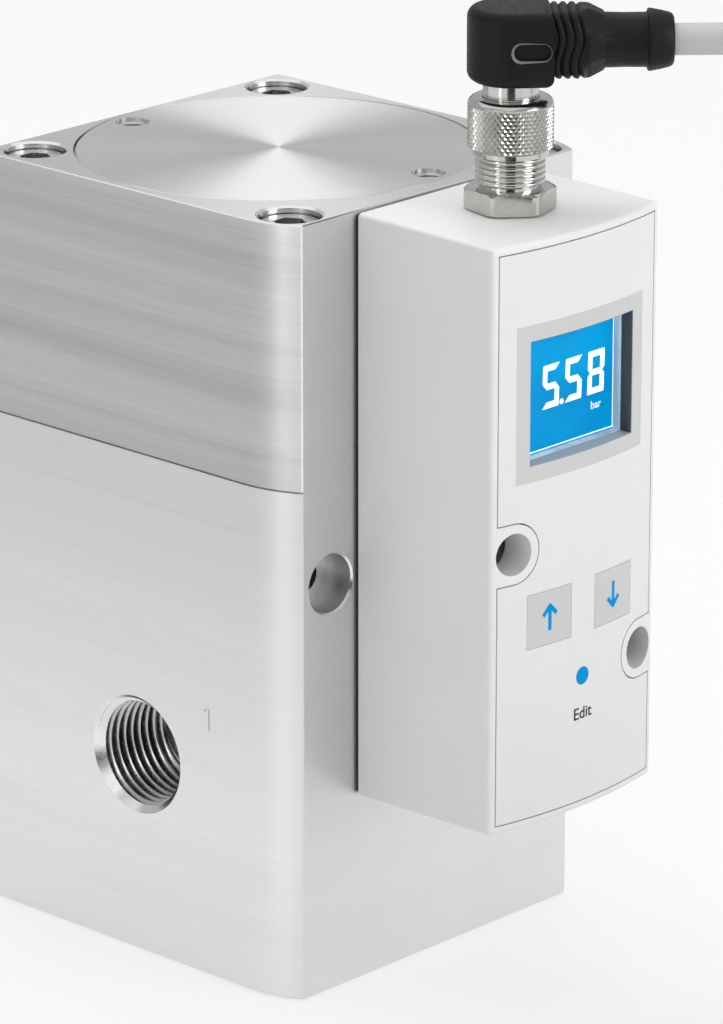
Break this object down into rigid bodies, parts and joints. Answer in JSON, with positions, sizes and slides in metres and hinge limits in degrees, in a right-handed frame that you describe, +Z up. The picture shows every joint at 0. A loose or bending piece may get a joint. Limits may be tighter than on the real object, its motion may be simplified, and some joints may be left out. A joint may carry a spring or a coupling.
{
  "type": "electro pneumatic regulator",
  "caption": "Square aluminium pressure regulator with side ports, a display controller with keys on its front, and an angled round plug with a coiled cable on top.",
  "frame": {"origin": "on the main valve's axis at the block's underside, at the mouth of the exhaust port", "axes": "+Z up along the valve's axis, -Y towards the controller's front, +X towards the outlet port"},
  "size_m": [0.0895, 0.2313, 0.1752],
  "materials": {
    "body_aluminium": "fine horizontal milling, natural anodised",
    "head_aluminium": "drawn with long horizontal streaks, natural anodised",
    "cap_aluminium": "turned",
    "screw_steel": "zinc plated",
    "dark_steel": "blackened",
    "valve_brass": "turned",
    "black_rubber": "matt",
    "housing_plastic": "fine grain",
    "panel_plastic": "satin film",
    "grey_plastic": "satin film",
    "clear_window": "clear",
    "display_blue": "backlit",
    "key_blue": "satin",
    "black_plastic": "moulded",
    "board_green": "lacquered",
    "nickel_plate": "satin nickel",
    "contact_gold": "gold plated",
    "cable_grey": "satin sheath",
    "core_plastic": "satin"
  },
  "bodies": {
    "regulator": {"valve_body": "body_aluminium", "pilot_head": "head_aluminium", "top_cap": "cap_aluminium", "top_cap_seal": "black_rubber", "head_screws": "screw_steel", "diaphragm": "black_rubber", "stem_guide": "valve_brass", "poppet_spring": "screw_steel", "exhaust_plug": "cap_aluminium", "plug_seal": "black_rubber", "tail_seal": "black_rubber", "controller_housing": "housing_plastic", "housing_gasket": "black_rubber", "housing_screws": "dark_steel", "front_panel": "panel_plastic", "display_frame": "grey_plastic", "display_lens": "clear_window", "lcd_module": "display_blue", "key_switches": "black_plastic", "circuit_board": "board_green", "board_components": "black_plastic", "fill_valve": "black_plastic", "vent_valve": "black_plastic", "pressure_sensor": "screw_steel", "m12_socket": "nickel_plate", "socket_nut": "nickel_plate", "pin_carrier": "black_plastic", "contact_pins": "contact_gold", "plug_sleeve": "nickel_plate", "plug_insert": "black_plastic", "elbow_body": "black_plastic", "cable": "cable_grey", "cable_coil": "cable_grey", "coil_ties": "black_plastic", "wire_ends": "core_plastic"},
    "poppet": {"main_poppet": "valve_brass"},
    "stem": {"control_stem": "screw_steel", "upper_plate": "cap_aluminium", "plate_nut": "screw_steel"},
    "up_button": {"up_key": "grey_plastic"},
    "down_button": {"down_key": "grey_plastic"},
    "edit_button": {"edit_key": "key_blue"},
    "fill_armature": {"fill_plunger": "screw_steel"},
    "vent_armature": {"vent_plunger": "screw_steel"},
    "nut": {"coupling_nut": "nickel_plate"}
  },
  "joints": [
    {"name": "poppet_stroke", "type": "slide", "parent": "regulator", "child": "poppet", "axis": [0, 0, 1], "range_m": [-0.002, 0], "stiffness_N_per_m": 3000, "springref_m": 0.003, "deforming": ["poppet_spring"]},
    {"name": "stem_stroke", "type": "slide", "parent": "regulator", "child": "stem", "axis": [0, 0, 1], "range_m": [-0.002, 0], "deforming": ["diaphragm"]},
    {"name": "up_key_press", "type": "slide", "parent": "regulator", "child": "up_button", "axis": [0, 1, 0], "range_m": [0, 0.0004], "stiffness_N_per_m": 5000},
    {"name": "down_key_press", "type": "slide", "parent": "regulator", "child": "down_button", "axis": [0, 1, 0], "range_m": [0, 0.0004], "stiffness_N_per_m": 5000},
    {"name": "edit_key_press", "type": "slide", "parent": "regulator", "child": "edit_button", "axis": [0, 1, 0], "range_m": [0, 0.0004], "stiffness_N_per_m": 5000},
    {"name": "fill_plunger_stroke", "type": "slide", "parent": "regulator", "child": "fill_armature", "axis": [0, -1, 0], "range_m": [0, 0.0005], "stiffness_N_per_m": 2000},
    {"name": "vent_plunger_stroke", "type": "slide", "parent": "regulator", "child": "vent_armature", "axis": [0, -1, 0], "range_m": [0, 0.0005], "stiffness_N_per_m": 2000},
    {"name": "coupling_nut_turn", "type": "hinge", "parent": "regulator", "child": "nut", "pos_m": [0, -0.0547, 0.155], "axis": [0, 0, 1], "continuous": true}
  ],
  "couplings": [
    {"joint": "stem_stroke", "follows": "poppet_stroke", "ratio": 1}
  ]
}
